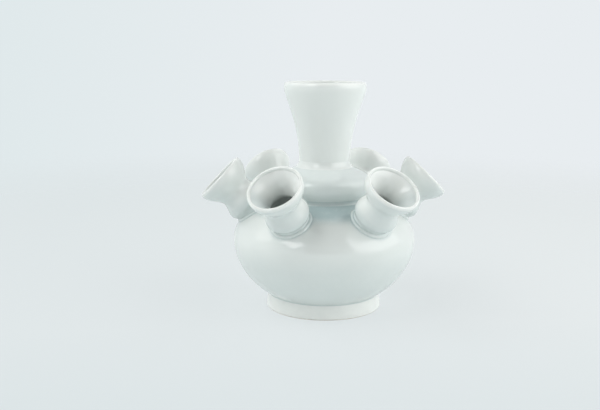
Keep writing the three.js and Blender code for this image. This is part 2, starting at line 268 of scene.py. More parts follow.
class StageSizes(bpy.types.PropertyGroup):
    """Camera and studio"""

    distance: length("Distance", 545.84, "Level distance of the camera from the vase's axis")
    camera_height: length("Camera height", 173.09, "Height of the camera over the floor")
    bearing: angle("Bearing", -5.683, "Turn of the camera round the vase, from the front")
    aim: angle("Aim", -3.926, "Direction that the camera looks in, seen from above")
    pitch: angle("Pitch", 10.665, "How far the camera looks down")
    roll: angle("Roll", 0.196, "Turn of the camera about its own line of sight")
    lens: FloatProperty(
        name="Lens", description="Focal length on a 36 mm wide frame, in millimetres", default=48.0)
    floor_light: colour("Floor, lighter side", "#E2E7E8", "The floor on the right and at the back")
    floor_dark: colour("Floor, darker side", "#D4DDDF", "The floor on the left and at the front")
    paper: colour("Paper", "#E8EEEF", "The floor in the light that it throws on the vase")
    floor_fill: FloatProperty(
        name="Floor fill", description="Share of the floor that the camera sees as its plain colour",
        default=0.8, min=0, max=1, subtype="FACTOR")
    backdrop_colour: colour("Backdrop", "#E8EDF0", "The backdrop")
    backdrop_left: colour("Backdrop, left side", "#E0E9EB", "The backdrop at its left end")
    ceiling_colour: colour("Ceiling", "#3A3C3E", "The dark ceiling over the table")


class VaseSettings(bpy.types.PropertyGroup):
    """All sizes and colours of the vase and its studio"""

    foot: PointerProperty(type=FootSizes)
    body: PointerProperty(type=BodySizes)
    knop: PointerProperty(type=KnopSizes)
    neck: PointerProperty(type=NeckSizes)
    spout: PointerProperty(type=SpoutSizes)
    slip: PointerProperty(type=SlipSizes)
    glaze: PointerProperty(type=GlazeColours)
    stage: PointerProperty(type=StageSizes)
    columns: IntProperty(
        name="Columns", description="Steps round the body, knop and neck", default=256, min=24)
    spout_columns: IntProperty(name="Spout columns", description="Steps round a spout", default=144, min=24)


# Curves


def blend(low, high, share):
    """The value at a share of the way from low to high."""
    return low + (high - low) * share


def smooth(value, start, end):
    """A soft step from 0 at start to 1 at end, level at both."""
    t = np.clip((value - start) / (end - start), 0, 1)
    return t * t * (3 - 2 * t)


def swell(share):
    """A soft rise from 0 to 1 with the share of the way: half a cosine."""
    return (1 - np.cos(math.pi * share)) / 2


def half_axis(wide, end, height):
    """The upright half-axis of an ellipse, wide at its middle, whose radius at a height over it is end."""
    return height / math.sqrt(1 - (end / wide) ** 2)


def ellipse_arc(wide, middle, end, height, count):
    """An arc of an upright ellipse, from its widest point (wide, middle) to (end, height), in even steps of
    the angle whose cosine gives the radius and whose sine gives the height."""
    turn = np.linspace(0, math.acos(end / wide), count)
    return np.stack((wide * np.cos(turn), middle + half_axis(wide, end, height - middle) * np.sin(turn)), 1)


def bezier(points, count):
    """A Bezier curve, whose points have binomial weights at a parameter t that runs evenly from 0 to 1."""
    points = np.asarray(points, float)
    order = len(points) - 1
    t = np.linspace(0, 1, count)[:, None]
    weights = [math.comb(order, k) * t**k * (1 - t) ** (order - k) for k in range(order + 1)]
    return sum(weight * point for weight, point in zip(weights, points))


def line(start, end, count):
    """A straight run from start to end in even steps."""
    return np.linspace(start, end, count)


def chain(*runs):
    """Runs of points in a row, with each point that repeats the one before it left out."""
    points = np.concatenate([np.atleast_2d(run) for run in runs])
    steps = np.linalg.norm(np.diff(points, axis=0), axis=1)
    return points[np.concatenate(([True], steps > 1e-7))]


def offset(curve, wall):
    """The curve moved by the wall's thickness to the left of the way it runs, each point along its normal."""
    along = np.gradient(curve, axis=0)
    along /= np.linalg.norm(along, axis=1)[:, None]
    return curve + wall * np.stack((-along[:, 1], along[:, 0]), 1)


def wave(low, high, count):
    """A soft wave from one (radius, height) to another: the height runs evenly, the radius as a cosine."""
    t = np.linspace(0, 1, count)
    return np.stack((blend(low[0], high[0], swell(t)), blend(low[1], high[1], t)), 1)


def flare(low, straight, lip_radius, band, lip_height, count):
    """The outside of a flaring wall: a cubic Bezier that leaves its foot along the axis and comes back to the
    axis' direction at the lip."""
    arms = (low[0], low[1] + straight), (lip_radius, lip_height - band)
    return bezier((low, *arms, (lip_radius, lip_height)), count)


def lip(outer, inner, top, count):
    """The edge of a wall from its outer face over to its inner face: half a rounded square, whose radius and
    height are signed powers of a cosine and a sine."""
    turn = np.linspace(0, math.pi, count)
    middle, half = (outer[0] + inner[0]) / 2, (outer[0] - inner[0]) / 2
    across = np.sign(np.cos(turn)) * np.abs(np.cos(turn)) ** LIP_FULLNESS
    base = blend(outer[1], inner[1], (1 - across) / 2)
    return np.stack((middle + half * across, blend(base, top, np.sin(turn) ** LIP_FULLNESS)), 1)


# Surfaces


def handmade(points):
    """The slight unevenness of thrown work: each point is drawn in towards the axis by up to a 400th of its
    radius, in waves that run round the vase two, three and five times and drift with the height. Nothing
    moves at the foot."""
    x, y, z = np.moveaxis(points, -1, 0)
    turn = np.arctan2(y, x)
    waves = sum(size * np.sin(count * turn + drift * z + start) for count, size, drift, start in WAVES)
    share = 1 - UNEVEN * (1 + waves / sum(wave[1] for wave in WAVES)) * smooth(z, 4 * MM, 30 * MM)
    return np.stack((x * share, y * share, z), -1)


def placed(name, data):
    """A new object in the scene."""
    piece = bpy.data.objects.new(name, data)
    bpy.context.scene.collection.objects.link(piece)
    return piece


def sheet(name, grid, poles=None):
    """A mesh over a grid of points whose last column joins its first: each cell is a face. Its last row joins
    the first too, or where two poles are given, each closes one of those rows with a fan of faces."""
    rows, columns = grid.shape[:2]
    i = np.arange(rows if poles is None else rows - 1)[:, None] * columns
    above = (i + columns) % (rows * columns)
    j = np.arange(columns)
    after = (j + 1) % columns
    faces = np.stack((i + j, i + after, above + after, above + j), -1).reshape(-1, 4).tolist()
    points = grid.reshape(-1, 3)
    if poles is not None:
        start, last = np.full(columns, len(points)), (rows - 1) * columns
        faces += np.concatenate((
            np.stack((start, after, j), -1), np.stack((last + j, last + after, start + 1), -1))).tolist()
        points = np.concatenate((points, poles))
    mesh = bpy.data.meshes.new(name)
    mesh.from_pydata(points, [], faces)
    mesh.polygons.foreach_set("use_smooth", np.ones(len(mesh.polygons), bool))
    mesh.update()
    return placed(name, mesh)


def positions(piece):
    """The piece's corners as an array of rows of three."""
    mesh = piece.data
    flat = np.empty(3 * len(mesh.vertices), np.float32)
    mesh.vertices.foreach_get("co", flat)
    return flat.reshape(-1, 3).astype(float)


def polar(points):
    """The radius and the height of each point."""
    return np.hypot(points[:, 0], points[:, 1]), points[:, 2]


def around_axis(radius, turn, height):
    """Points at a radius, a turn and a height about +Z."""
    return np.stack(np.broadcast_arrays(radius * np.cos(turn), radius * np.sin(turn), height), -1)


def turned(profile, columns):
    """The grid that a profile of radii and heights sweeps about +Z: each row is a circle, stepped from +X
    anticlockwise as seen from above."""
    turn = np.linspace(0, 2 * math.pi, columns, endpoint=False)
    return around_axis(profile[:, :1], turn, profile[:, 1:])


def thrown(name, profile, vase):
    """The piece that a closed profile makes on the wheel, with the radius and height of each corner."""
    piece = sheet(name, handmade(turned(profile, vase.columns)))
    return piece, *polar(positions(piece))


def shoulder_rise(body):
    """The upright half-axis of the shoulder's ellipse, which passes through the rim."""
    return half_axis(BELLY_R, body.rim_radius, RIM_Z - body.belly_height)


def shoulder_height(body, radius):
    """The height of the shoulder's ellipse at a radius."""
    return body.belly_height + shoulder_rise(body) * np.sqrt(1 - (radius / BELLY_R) ** 2)


def knop_dome(knop, count):
    """The upper outside of the knop, from its widest point to the neck: a Bezier curve with three arms."""
    widest = RIM_Z + knop.widest
    return bezier((
        (KNOP_R, widest), (KNOP_R, widest + knop.side), (KNOP_R, widest + knop.turn),
        (knop.top_radius + knop.spread, NECK_Z - knop.drop), (knop.top_radius, NECK_Z)), count)


def neck_wall(neck, count):
    """The outside of the neck, up to its lip."""
    return flare((neck.base_radius, NECK_Z), neck.straight, LIP_R, neck.band, TOP_Z - neck.lip, count)


def landing(body, place, radius, turn):
    """How far along a spout's axis, from its seat, a line at that radius and turn meets the shoulder: the
    larger root of the quadratic that the line makes with the shoulder's ellipsoid."""
    seat, (across, uphill, axis) = place
    half = np.array([BELLY_R, BELLY_R, shoulder_rise(body)])
    radius, turn = np.broadcast_arrays(radius, turn)
    start = seat + radius[..., None] * (np.cos(turn)[..., None] * across + np.sin(turn)[..., None] * uphill)
    p = (start - [0, 0, body.belly_height]) / half
    d = axis / half
    a, b, c = d @ d, 2 * p @ d, (p * p).sum(-1) - 1
    return (-b + np.sqrt(b * b - 4 * a * c)) / (2 * a)


def spout_radius(sizes, height):
    """The outside radius of a spout's base and bulb at a height: a soft wave from the base to the bulb."""
    share = np.clip((height - sizes.base_height) / (sizes.bulb_height - sizes.base_height), 0, 1)
    return blend(sizes.base_radius, sizes.bulb_radius, swell(share))


def carried(points, place):
    """Points of a spout's own frame, in the vase's."""
    seat, directions = place
    return seat + points @ directions


def spout_places(vase):
    """Each spout's name, with its seat on the shoulder and the three directions of its own frame: level
    across, up the shoulder, and along its axis."""
    places = {}
    for station, (name, (askew, outward, further, pressed)) in enumerate(SPOUTS.items()):
        seat_radius = vase.spout.seat_radius + further * MM
        seat = np.array([0, -seat_radius, shoulder_height(vase.body, seat_radius)])
        lean = vase.spout.lean + math.radians(outward)
        cos, sin = math.cos(lean), math.sin(lean)
        turn = (station + 0.5) * 2 * math.pi / len(SPOUTS) + math.radians(askew)
        spin = np.array(
            [[math.cos(turn), -math.sin(turn), 0], [math.sin(turn), math.cos(turn), 0], [0, 0, 1]])
        directions = np.array([[1, 0, 0], [0, cos, sin], [0, -sin, cos]]) @ spin.T
        places[name] = spin @ seat - pressed * MM * directions[2], directions
    return places


def luted(vase, shape, piece_name, slot, node_name):
    """Makes a piece for each spout from a shape in the spout's frame, which gives points and glaze depths."""
    for name, place in spout_places(vase).items():
        points, depth = shape(vase, place)
        piece = sheet(piece_name.format(name), handmade(carried(points, place)))
        glaze(piece, depth, slot, node_name.format(name))


# Materials


def linear(code):
    """A hex sRGB colour as linear red, green, blue and alpha, by the standard's own curve."""
    values = [int(code[k:k + 2], 16) / 255 for k in (1, 3, 5)]
    return [v / 12.92 if v <= 0.04045 else ((v + 0.055) / 1.055) ** 2.4 for v in values] + [1.0]


def node(tree, kind, inputs=None, **settings):
    """Adds a shader node with its settings. An input is linked where given a socket, and set otherwise."""
    made = tree.nodes.new("ShaderNode" + kind)
    for key, value in settings.items():
        setattr(made, key, value)
    for key, value in (inputs or {}).items():
        if isinstance(value, bpy.types.NodeSocket):
            tree.links.new(value, made.inputs[key])
        else:
            made.inputs[key].default_value = value
    return made


def calc(tree, operation, *values, **settings):
    """Adds a maths node over the values."""
    return node(tree, "Math", dict(enumerate(values)), operation=operation, **settings).outputs[0]


def ranged(tree, value, start, end, low=0.0, high=1.0, **settings):
    """Adds a node that maps the range from start to end to the one from low to high."""
    return node(tree, "MapRange", {
        "Value": value, "From Min": start, "From Max": end, "To Min": low, "To Max": high,
    }, **settings).outputs[0]


def mixed(tree, factor, first, second):
    """Adds a node that mixes two colours."""
    return node(tree, "Mix", {"Factor": factor, 6: first, 7: second}, data_type="RGBA").outputs[2]


def mixed_shader(tree, factor, first, second):
    """Adds a node that mixes two shaders."""
    return node(tree, "MixShader", {0: factor, 1: first.outputs[0], 2: second.outputs[0]})


def noise(tree, place, scale, detail, roughness=0.5):
    """Adds a noise pattern."""
    return node(tree, "TexNoise", {
        "Vector": place, "Scale": scale, "Detail": detail, "Roughness": roughness}).outputs["Fac"]


def new_material(name):
    """An empty material, its node tree, and the place on the object."""
    material = bpy.data.materials.new(name)
    material.use_nodes = True
    material.node_tree.nodes.clear()
    return material, material.node_tree, node(material.node_tree, "TexCoord").outputs["Object"]


def tin_glaze(name, settings):
    """Tin-white glaze over a buff clay body, dipped, and fired glossy. It gives the eye a milky white with
    sharp window reflections, lighter and warmer where it ran thin over lips and edges, cool and bluish where
    it pooled, over a skin that is very faintly dimpled like orange peel and still waves from the throwing.
    The same warm and cool colours also paint light on the foot and the spouts' upper sides, and shade on the
    knop, the valley round it, the low belly, and the spouts' bulbs and undersides. The standing edge is wiped
    back to bare clay."""
    colours = settings.glaze
    material, tree, place = new_material(name)
    depth = node(tree, "Attribute", attribute_name="glaze_depth_and_painted_shading").outputs["Fac"]

    # Clouds 25 mm across, a tone apart.
    clouds = noise(tree, place, CLOUD_SCALE, 3.0, roughness=0.55)
    white = mixed(tree, clouds, linear(colours.white), linear(colours.cloud))

    # The glaze ran unevenly, in patches 3 to 4 mm across, so thin and pooled glaze, and the painted light and
    # shade, waver by a quarter.
    uneven = calc(tree, "MULTIPLY_ADD", noise(tree, place, PATCH_SCALE, 2.0), 0.5, -0.25)
    uneven_depth = calc(tree, "MULTIPLY", depth, calc(tree, "ADD", uneven, 1.0))
    # Deeper values turn to the pooled colour, which also paints shade, and lighter ones to the thin colour,
    # which also paints light
    cool = mixed(tree, ranged(tree, uneven_depth, 0.0, 1.0), white, linear(colours.pooled))
    warm = mixed(tree, ranged(tree, uneven_depth, 0.0, -1.0), cool, linear(colours.thin_and_lit))

    # The bare band at the standing edge, with a wavering glaze line.
    height = node(tree, "SeparateXYZ", {0: place}).outputs["Z"]
    line_height = calc(tree, "MULTIPLY_ADD", uneven, LINE_WAVER, height)
    band = settings.foot.clay
    bare = ranged(tree, line_height, band + LINE_FADE, band - LINE_FADE)
    clay = mixed(tree, noise(tree, place, GRIT_SCALE, 2.0), linear(colours.clay), linear(colours.grit))
    base = mixed(tree, bare, warm, clay)

    # Gloss: a breath of kiln haze, and dull on the clay.
    haze = ranged(tree, clouds, 0.0, 1.0, *GLAZE_ROUGHNESS)
    rough = node(tree, "Mix", {"Factor": bare, 2: haze, 3: CLAY_ROUGHNESS})

    # Skin: waves 10 mm apart and dimples 3 mm across, both a hundredth of a millimetre deep.
    waves = node(tree, "TexWave", {
        "Vector": place, "Scale": WAVE_SCALE, "Distortion": 3.0, "Detail": 1.0, "Detail Scale": 1.2},
        wave_type="BANDS", bands_direction="Z", wave_profile="SIN")
    skin = None
    for relief in (waves.outputs["Fac"], noise(tree, place, DIMPLE_SCALE, 1.0)):
        under = {"Normal": skin.outputs[0]} if skin else {}
        skin = node(tree, "Bump", {"Height": relief, "Strength": 1.0, "Distance": RELIEF, **under})

    shader = node(tree, "BsdfPrincipled", {
        "Base Color": base, "Roughness": rough.outputs[0], "Normal": skin.outputs[0], "IOR": GLAZE_IOR})
    node(tree, "OutputMaterial", {"Surface": shader.outputs[0]})
    return material


def glaze(piece, depth, slot, *nodes):
    """Gives a piece the vase's glaze, as deep as given at each corner, a depth that also paints light and
    shade, its place on the vase and the solids that it stands for."""
    layer = piece.data.attributes.new("glaze_depth_and_painted_shading", "FLOAT", "POINT")
    layer.data.foreach_set("value", np.clip(depth, -1, 1).astype(np.float32).ravel())
    material = bpy.data.materials.get("tin_glaze") or tin_glaze("tin_glaze", bpy.context.scene.vase)
    piece.data.materials.append(material)
    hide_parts(*nodes)
    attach(piece, "root")


# Operators


class VaseStep:
    """A step of the making, which its operator does in its make method"""

    def execute(self, context):
        self.make(context.scene.vase)
        return {"FINISHED"}


class MakeFoot(VaseStep, bpy.types.Operator):
    """Turn the foot ring, coved into the body"""

    bl_idname = "vase.make_foot"
    bl_label = "Foot Ring"

    def make(self, vase):
        foot, body = vase.foot, vase.body
        inner, edge = FOOT_R - foot.wall, foot.edge
        near, low = 0.1 * edge, 0.05 * edge
        lower_rise = half_axis(BELLY_R, body.base_radius, body.belly_height - FOOT_TOP)
        cove_drop = lower_rise * math.sqrt(1 - (foot.cove_radius / BELLY_R) ** 2)
        cove_z = body.belly_height - cove_drop + foot.proud

        # The outline's corners: the side, the cove and its arms, the bed inside the body, and its fillet
        side, cove = (foot.top_radius, foot.side), (foot.cove_radius, cove_z)
        cove_low_arm, cove_arm = (side[0] - 0.1 * MM, 9.6 * MM), (side[0] - 0.4 * MM, cove_z - 0.45 * MM)
        bed, bed_end = (inner + 1.2 * MM, FOOT_TOP + 1.4 * MM), (inner - 1.6 * MM, FOOT_TOP + 0.2 * MM)
        fillet, fillet_arm = (bed_end[0], FOOT_TOP - 0.02 * MM), (inner, FOOT_TOP - 0.1 * MM)
        upright = (inner, 6 * MM)
        profile = chain(
            line((inner + edge, 0), (FOOT_R - edge, 0), count=12),
            bezier(((FOOT_R - edge, 0), (FOOT_R - near, low), (FOOT_R, edge)), count=12),
            line((FOOT_R, edge), side, count=20),
            bezier((side, cove_low_arm, cove_arm, cove), count=30),
            line(cove, bed, count=6),
            line(bed, bed_end, count=6),
            bezier((fillet, fillet_arm, upright), count=14),
            line(upright, (inner, edge), count=14),
            bezier(((inner, edge), (inner + near, low), (inner + edge, 0)), count=10),
        )[:-1]
        piece, radius, z = thrown("foot_ring_glazed", profile, vase)
        # Painted light on the foot, and a line of pooled glaze in the cove
        pooled = smooth(z, cove_z - 1.6 * MM, cove_z - 0.8 * MM)
        depth = blend(FOOT_PAINTED_LIGHT, FOOT_COVE_DEPTH, pooled) * (radius > inner + 2 * MM)
        glaze(piece, depth, "white_glaze", "foot_ring")


class MakeBody(VaseStep, bpy.types.Operator):
    """Turn the round body, hollow, and pierce it under each spout"""

    bl_idname = "vase.make_body"
    bl_label = "Body"

    def make(self, vase):
        body = vase.body
        wide, inside_wide = BELLY_R, BELLY_R - body.wall
        inside_base, floor_z = body.base_radius - body.wall, FOOT_TOP + body.floor
        rim_under = RIM_Z - body.rim
        pole = 1 * MM
        profile = chain(
            line((pole, FOOT_TOP), (body.base_radius, FOOT_TOP), count=24),
            ellipse_arc(wide, body.belly_height, body.base_radius, FOOT_TOP, count=80)[::-1],
            ellipse_arc(wide, body.belly_height, body.rim_radius, RIM_Z, count=80),
            line((body.rim_radius, RIM_Z), (body.throat, RIM_Z), count=6),
            line((body.throat, RIM_Z), (body.throat, rim_under), count=4),
            ellipse_arc(inside_wide, body.belly_height, body.throat, rim_under, count=30)[::-1],
            ellipse_arc(inside_wide, body.belly_height, inside_base, floor_z, count=30),
            line((inside_base, floor_z), (pole, floor_z), count=10),
        )
        grid = handmade(turned(profile, vase.columns))
        piece = sheet("body_glazed", grid, poles=((0, 0, FOOT_TOP), (0, 0, floor_z)))
        self.pierce(piece, vase)
        points = positions(piece)
        radius, z = polar(points)
        # Painted shade in the valley round the knop and low on the belly, and glaze pooled round each spout's
        # foot
        pooled = smooth(radius, *VALLEY_SHADE) * (z > body.belly_height)
        for seat, directions in spout_places(vase).values():
            across, uphill, along = ((points - seat) @ directions.T).T
            away = np.hypot(across, uphill) - vase.spout.base_radius
            on_this_side = along > -12 * MM
            joint = blend(*JOINT_DEPTHS, smooth(uphill, *UP_SHOULDER)) * smooth(away, *ROUND_SPOUT)
            pooled = np.maximum(pooled, joint * on_this_side)
        glaze(piece, pooled + LOW_BELLY_SHADE * smooth(z, *SHADED_BELLY_HEIGHTS), "white_glaze", "body")

    def pierce(self, piece, vase):
        """Bores through the shoulder's wall along each spout's axis, with one cutter of six round bars."""
        bore, half = vase.spout.base_radius - vase.spout.wall, 13 * MM
        bars = []
        for place in spout_places(vase).values():
            rings = turned(np.array([(bore, -half), (bore, half)]), columns=64)
            poles = carried(np.array([(0, 0, -half), (0, 0, half)]), place)
            bars.append(sheet("bar", carried(rings, place), poles))
        with bpy.context.temp_override(active_object=bars[0], selected_editable_objects=bars):
            bpy.ops.object.join()
        cut = piece.modifiers.new("pierced", "BOOLEAN")
        cut.operation = "DIFFERENCE"
        cut.solver = "MANIFOLD"
        cut.object = bars[0]
        shape = bpy.data.meshes.new_from_object(piece.evaluated_get(bpy.context.evaluated_depsgraph_get()))
        piece.modifiers.remove(cut)
        shape.materials.clear()
        shape.polygons.foreach_set("material_index", np.zeros(len(shape.polygons), np.int32))
        whole, piece.data = piece.data, shape
        bpy.data.meshes.remove(whole)
        bpy.data.meshes.remove(bars[0].data)  # and with it the cutter


class MakeKnop(VaseStep, bpy.types.Operator):
    """Turn the squat bulb that carries the neck"""

    bl_idname = "vase.make_knop"
    bl_label = "Knop"

    def make(self, vase):
        knop, neck, body = vase.knop, vase.neck, vase.body
        widest = RIM_Z + knop.widest
        bore, inside_wide = neck.base_radius - neck.wall, KNOP_R - knop.wall
        low, top_under = RIM_Z - vase.slip.sink, NECK_Z - knop.top
        profile = chain(
            line((body.throat, low), (body.rim_radius, low), count=6),
            ellipse_arc(KNOP_R, widest, body.rim_radius, RIM_Z, count=40)[::-1],
            knop_dome(knop, count=80),
            line((knop.top_radius, NECK_Z), (bore, NECK_Z), count=6),
            line((bore, NECK_Z), (bore, top_under), count=4),
            ellipse_arc(inside_wide, widest, bore, top_under, count=30)[::-1],
            ellipse_arc(inside_wide, widest, body.throat, RIM_Z, count=20),
        )
        piece, _, z = thrown("knop_glazed", profile, vase)
        # Painted shade over the knop, least at its foot
        depth = blend(KNOP_FOOT_SHADE, KNOP_SHADE, smooth(z, RIM_Z + 1.5 * MM, RIM_Z + 7 * MM))
        glaze(piece, depth, "white_glaze", "knop")


class MakeNeck(VaseStep, bpy.types.Operator):
    """Turn the trumpet neck with its rounded lip"""

    bl_idname = "vase.make_neck"
    bl_label = "Neck"

    def make(self, vase):
        neck, low = vase.neck, NECK_Z - vase.slip.sink
        outside = neck_wall(neck, count=150)
        inside = offset(outside, neck.wall)[::-1]
        bore = inside[-1][0]
        profile = chain(
            outside, lip(outside[-1], inside[0], TOP_Z, count=40), inside,
            line(inside[-1], (bore, low), count=2), line((bore, low), (neck.base_radius, low), count=5))
        piece, _, z = thrown("neck_glazed", profile, vase)
        glaze(piece, LIP_DEPTH * smooth(z, TOP_Z - 2.4 * MM, TOP_Z - 0.6 * MM), "white_glaze", "neck")


class MakeSpouts(VaseStep, bpy.types.Operator):
    """Turn the six spouts and fit each one's foot to the shoulder"""

    bl_idname = "vase.make_spouts"
    bl_label = "Spouts"

    def make(self, vase):
        luted(vase, self.shape, "spout_{}_glazed", "white_glaze", "spout_{}")

    def shape(self, vase, place):
        """A spout in its own frame, as a grid of points and the glaze's depth at each, which also paints
        light and shade. Its foot rows run evenly from where each column meets the shoulder up to the bulb,
        with the profile's radius at each height."""
        spout, body, bedded = vase.spout, vase.body, 6 * vase.slip.sink
        turn = np.linspace(0, 2 * math.pi, vase.spout_columns, endpoint=False)
        bore = spout.base_radius - spout.wall
        outer_foot = landing(body, place, spout.base_radius, turn) - bedded
        inner_foot = landing(body, place, bore, turn) - bedded

        rising = blend(outer_foot, spout.bulb_height, np.linspace(0, 1, 36)[:, None])
        foot_rows = np.stack((spout_radius(spout, rising), rising), -1)

        lip_z, lip_in = spout.height - spout.lip, spout.lip_radius - spout.lip_wall
        waist, bulb = (spout.waist_radius, spout.waist_height), (spout.bulb_radius, spout.bulb_height)
        waist_in, bulb_in = (spout.throat, waist[1]), (bulb[0] - spout.wall, bulb[1])
        lip_arm = (lip_in - 3.0 * MM, lip_z - 2.2 * MM)
        throat_arm = (spout.throat + 1.6 * MM, lip_z - 7.0 * MM)
        bulb_top = wave(bulb, waist, count=30)[1:]
        mouth = flare(waist, spout.straight, spout.lip_radius, spout.band, lip_z, count=64)
        inner_mouth = bezier(((lip_in, lip_z), lip_arm, throat_arm, waist_in), count=64)
        run = chain(
            bulb_top, mouth, lip(mouth[-1], inner_mouth[0], spout.height, count=32), inner_mouth,
            wave(waist_in, bulb_in, count=16), wave(bulb_in, (bore, spout.base_height + 2 * MM), count=12))
        run_rows = np.repeat(run[:, None, :], len(turn), 1)

        falling = blend(run[-1, 1], inner_foot, np.linspace(0, 1, 8)[1:, None])
        bore_rows = np.stack((np.full_like(falling, bore), falling), -1)
        sole_r = blend(bore, spout.base_radius, np.linspace(0, 1, 5)[1:-1, None]) + 0 * turn
        sole_rows = np.stack((sole_r, landing(body, place, sole_r, turn) - bedded), -1)

        radius, z = np.moveaxis(np.concatenate((foot_rows, run_rows, bore_rows, sole_rows)), -1, 0)

        # The glaze gathered at the foot, most on the uphill side. The bulb and the undersides carry painted
        # shade, and the upper side of the mouth carries painted light. It ran thin over the lip.
        above, facing = z - outer_foot, np.sin(turn)
        outside = np.zeros(z.shape, bool)
        outside[:len(foot_rows) + len(bulb_top) + len(mouth)] = True
        pooled = blend(*FOOT_POOL_DEPTHS, smooth(facing, *UPHILL))
        gathered = pooled * smooth(above, 2.8 * MM, 1.2 * MM) * outside
        shaded_bulb = BULB_SHADE * smooth(above, 14 * MM, 8 * MM) * outside
        under = blend(*UNDERSIDE_SHADES, outside) * smooth(facing, 0.1, -0.7) * (z < lip_z)
        over = UPPER_SIDE_PAINTED_LIGHT * smooth(facing, -0.2, 0.5) * smooth(above, 11 * MM, 18 * MM)
        edge = LIP_DEPTH * smooth(z, spout.height - 1.8 * MM, spout.height - 0.5 * MM)
        depth = np.maximum(np.maximum(gathered, shaded_bulb), under) + np.minimum(edge, over)
        return around_axis(radius, turn, z), depth


class MakeCoves(VaseStep, bpy.types.Operator):
    """Turn the wiped coves of slip under the neck and under the knop"""

    bl_idname = "vase.make_coves"
    bl_label = "Coves of Slip"

    def make(self, vase):
        knop, neck, body, slip = vase.knop, vase.neck, vase.body, vase.slip

        dome, wall = knop_dome(knop, count=200)[::-1], neck_wall(neck, count=400)
        foot_r, head_z = neck.base_radius + slip.neck_width, NECK_Z + slip.neck_rise
        foot = (foot_r, float(np.interp(foot_r, dome[:, 0], dome[:, 1])))
        head = (np.interp(head_z, wall[:, 1], wall[:, 0]), head_z)
        corner = (neck.base_radius + 0.5 * MM, NECK_Z - 0.1 * MM)
        root = (neck.base_radius - 1.8 * MM, NECK_Z - 1.4 * MM)
        self.wipe("neck_slip_ring", foot, corner, head, root, NECK_COVE_DEPTH, vase)

        low_rise = half_axis(KNOP_R, body.rim_radius, knop.widest)
        foot_r, head_z = body.rim_radius + slip.knop_width, RIM_Z + slip.knop_rise
        foot = (foot_r, float(shoulder_height(body, foot_r)))
        head = (KNOP_R * math.sqrt(1 - ((knop.widest - slip.knop_rise) / low_rise) ** 2), head_z)
        corner = (body.rim_radius + 0.75 * MM, RIM_Z - 0.1 * MM)
        root = (body.rim_radius - 0.8 * MM, RIM_Z - 0.9 * MM)
        # The knop's cove holds pooled glaze, painted deeper with the valley's shade
        self.wipe("knop_slip_ring", foot, corner, head, root, KNOP_COVE_POOL_AND_SHADE, vase)

    def wipe(self, name, foot, corner, head, root, depth, vase):
        """A hollow face from foot to head, drawn towards the corner as a quadratic Bezier, bedded a little
        into what carries it, and closed behind through a root inside the two pieces."""
        sink = vase.slip.sink
        foot, head = (foot[0], foot[1] - sink), (head[0] - sink, head[1])
        face = bezier((foot, corner, head), count=26)
        profile = chain(face, line(head, root, count=5), line(root, foot, count=5))[:-1]
        piece, radius, _ = thrown(f"{name}_wiped", profile, vase)
        glaze(piece, np.full(len(radius), depth), "pooled_glaze", name)


class MakeCoils(VaseStep, bpy.types.Operator):
    """Carry a coil of slip round the foot of each spout"""

    bl_idname = "vase.make_coils"
    bl_label = "Coils of Slip"

    def make(self, vase):
        luted(vase, self.shape, "slip_ring_{}_pressed", "pooled_glaze", "slip_ring_{}")

    def shape(self, vase, place):
        """The coil in a spout's own frame, and the glaze's depth on it, which is least on its back. Its
        section is a quarter of a flattened round: the radius is the spout's plus the width times a cosine,
        and the height over the shoulder is the rise times the sine. It swells and thins by a seventh on the
        way round, as a coil pressed by thumb does, keeps outside the spout's bulb, and is closed under the
        shoulder."""
        spout, body, slip = vase.spout, vase.body, vase.slip
        bedded, flat = 2 * slip.sink, 0.9
        turn = np.linspace(0, 2 * math.pi, vase.spout_columns, endpoint=False)
        press = 1 + 0.14 * np.sin(5 * turn + 0.6) * np.sin(2 * turn)
        around = np.linspace(0, math.pi / 2, 14)[:, None]
        radius = spout.base_radius + slip.coil_width * press * np.cos(around) ** flat
        height = landing(body, place, radius, turn) + slip.coil_rise * press * np.sin(around) ** flat
        radius = np.maximum(radius, spout_radius(spout, height)) - bedded * np.sin(around)
        height = height - bedded * np.cos(around)
        root_r = np.full((1, len(turn)), spout.base_radius - 1.2 * MM)
        root_z = landing(body, place, root_r, turn) - 1.0 * MM
        stopped = blend(*JOINT_DEPTHS, smooth(np.sin(turn), *UPHILL))
        depth = np.concatenate((blend(1, COIL_BACK, np.sin(2 * around)) * stopped, np.ones((1, len(turn)))))
        return around_axis(np.concatenate((radius, root_r)), turn, np.concatenate((height, root_z))), depth


